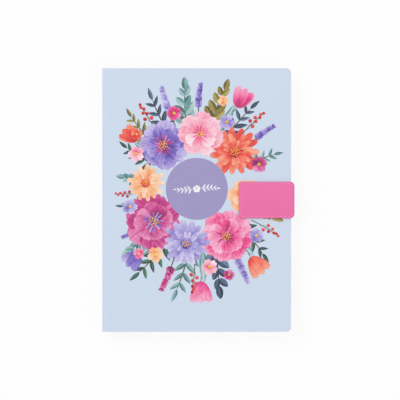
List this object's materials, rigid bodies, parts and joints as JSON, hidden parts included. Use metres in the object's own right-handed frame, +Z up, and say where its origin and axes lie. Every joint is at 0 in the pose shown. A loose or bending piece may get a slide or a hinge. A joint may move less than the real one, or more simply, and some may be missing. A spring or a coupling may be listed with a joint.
{
  "type": "address book",
  "caption": "Hardback address book with a step-cut index, a flower-patterned cover and a magnetic strap clasp that folds round the fore edge from the back cover.",
  "frame": {"origin": "middle of the closed book's footprint, clasp included, on the surface that the back cover lies on", "axes": "+X from the spine to the fore edge, +Y to the head of the book, +Z up out of the front cover"},
  "size_m": [0.1568, 0.215, 0.0203],
  "materials": {
    "cover_paper": "matte",
    "greyboard": "matte",
    "endpaper": "matte",
    "leaf_paper": "matte",
    "sewing_thread": "matte",
    "mull": "matte",
    "headband": "matte",
    "keeper_steel": "satin",
    "magnet": "satin",
    "clasp_skin": "satin",
    "clasp_lining": "satin"
  },
  "bodies": {
    "back_cover_and_block": {"back_board": "greyboard", "back_cover_sheet": "cover_paper", "back_pastedown": "endpaper", "back_hinge_strip": "cover_paper", "back_joint_lining": "endpaper", "back_gutter_fold": "endpaper", "front_gutter_fold": "endpaper", "back_flyleaf": "endpaper", "section_kl": "leaf_paper", "section_mn": "leaf_paper", "section_op": "leaf_paper", "section_qr": "leaf_paper", "section_st": "leaf_paper", "section_uv": "leaf_paper", "section_wx": "leaf_paper", "section_yz": "leaf_paper", "sewing_thread": "sewing_thread", "spine_mull": "mull", "spine_liner": "leaf_paper", "headband": "headband", "tailband": "headband", "clasp_anchor": "clasp_skin", "clasp_lower_fold": "clasp_skin"},
    "spine": {"spine_board": "greyboard", "spine_cover_sheet": "cover_paper", "front_hinge_strip": "cover_paper", "front_joint_lining": "endpaper"},
    "front_cover": {"front_board": "greyboard", "front_cover_sheet": "cover_paper", "front_pastedown": "endpaper", "keeper_plate": "keeper_steel"},
    "leaves_1": {"section_birthdays": "leaf_paper", "section_ab": "leaf_paper", "section_cd": "leaf_paper", "front_flyleaf": "endpaper"},
    "leaves_2": {"section_ef": "leaf_paper", "section_gh": "leaf_paper", "section_ij": "leaf_paper"},
    "clasp_neck": {"clasp_neck_outer": "clasp_skin", "clasp_neck_lining": "clasp_lining", "clasp_neck_stiffener": "greyboard"},
    "clasp_tab": {"clasp_tab_outer": "clasp_skin", "clasp_tab_lining": "clasp_lining", "clasp_tab_stiffener": "greyboard", "clasp_magnet": "magnet", "clasp_stitching": "sewing_thread", "clasp_upper_fold": "clasp_skin"}
  },
  "joints": [
    {"name": "clasp_lower_bend", "type": "hinge", "parent": "back_cover_and_block", "child": "clasp_neck", "pos_m": [0.07702, 0, 0.00263], "axis": [0, 1, 0], "range_deg": [0, 90], "deforming": ["clasp_lower_fold"]},
    {"name": "clasp_upper_bend", "type": "hinge", "parent": "clasp_neck", "child": "clasp_tab", "pos_m": [0.07728, 0, 0.01888], "axis": [0, 1, 0], "range_deg": [0, 90], "deforming": ["clasp_upper_fold"]},
    {"name": "front_cover_hinge", "type": "hinge", "parent": "spine", "child": "front_cover", "pos_m": [-0.0732, 0, 0.01785], "axis": [0, -1, 0], "range_deg": [0, 170], "deforming": ["front_hinge_strip", "front_joint_lining"]},
    {"name": "spine_tilt", "type": "hinge", "parent": "back_cover_and_block", "child": "spine", "pos_m": [-0.0781, 0, 0.0003], "axis": [0, -1, 0], "range_deg": [0, 16.49], "deforming": ["back_hinge_strip", "back_joint_lining", "back_gutter_fold", "front_gutter_fold"]},
    {"name": "leaves_1_turn", "type": "hinge", "parent": "back_cover_and_block", "child": "leaves_1", "pos_m": [-0.07375, 0, 0.01515], "axis": [0, -1, 0], "range_deg": [0, 127.5]},
    {"name": "leaves_2_turn", "type": "hinge", "parent": "back_cover_and_block", "child": "leaves_2", "pos_m": [-0.07375, 0, 0.01238], "axis": [0, -1, 0], "range_deg": [0, 62.9]}
  ],
  "couplings": [
    {"joint": "spine_tilt", "follows": "front_cover_hinge", "ratio": 0.097},
    {"joint": "leaves_1_turn", "follows": "front_cover_hinge", "ratio": 0.75},
    {"joint": "leaves_2_turn", "follows": "front_cover_hinge", "ratio": 0.37}
  ]
}
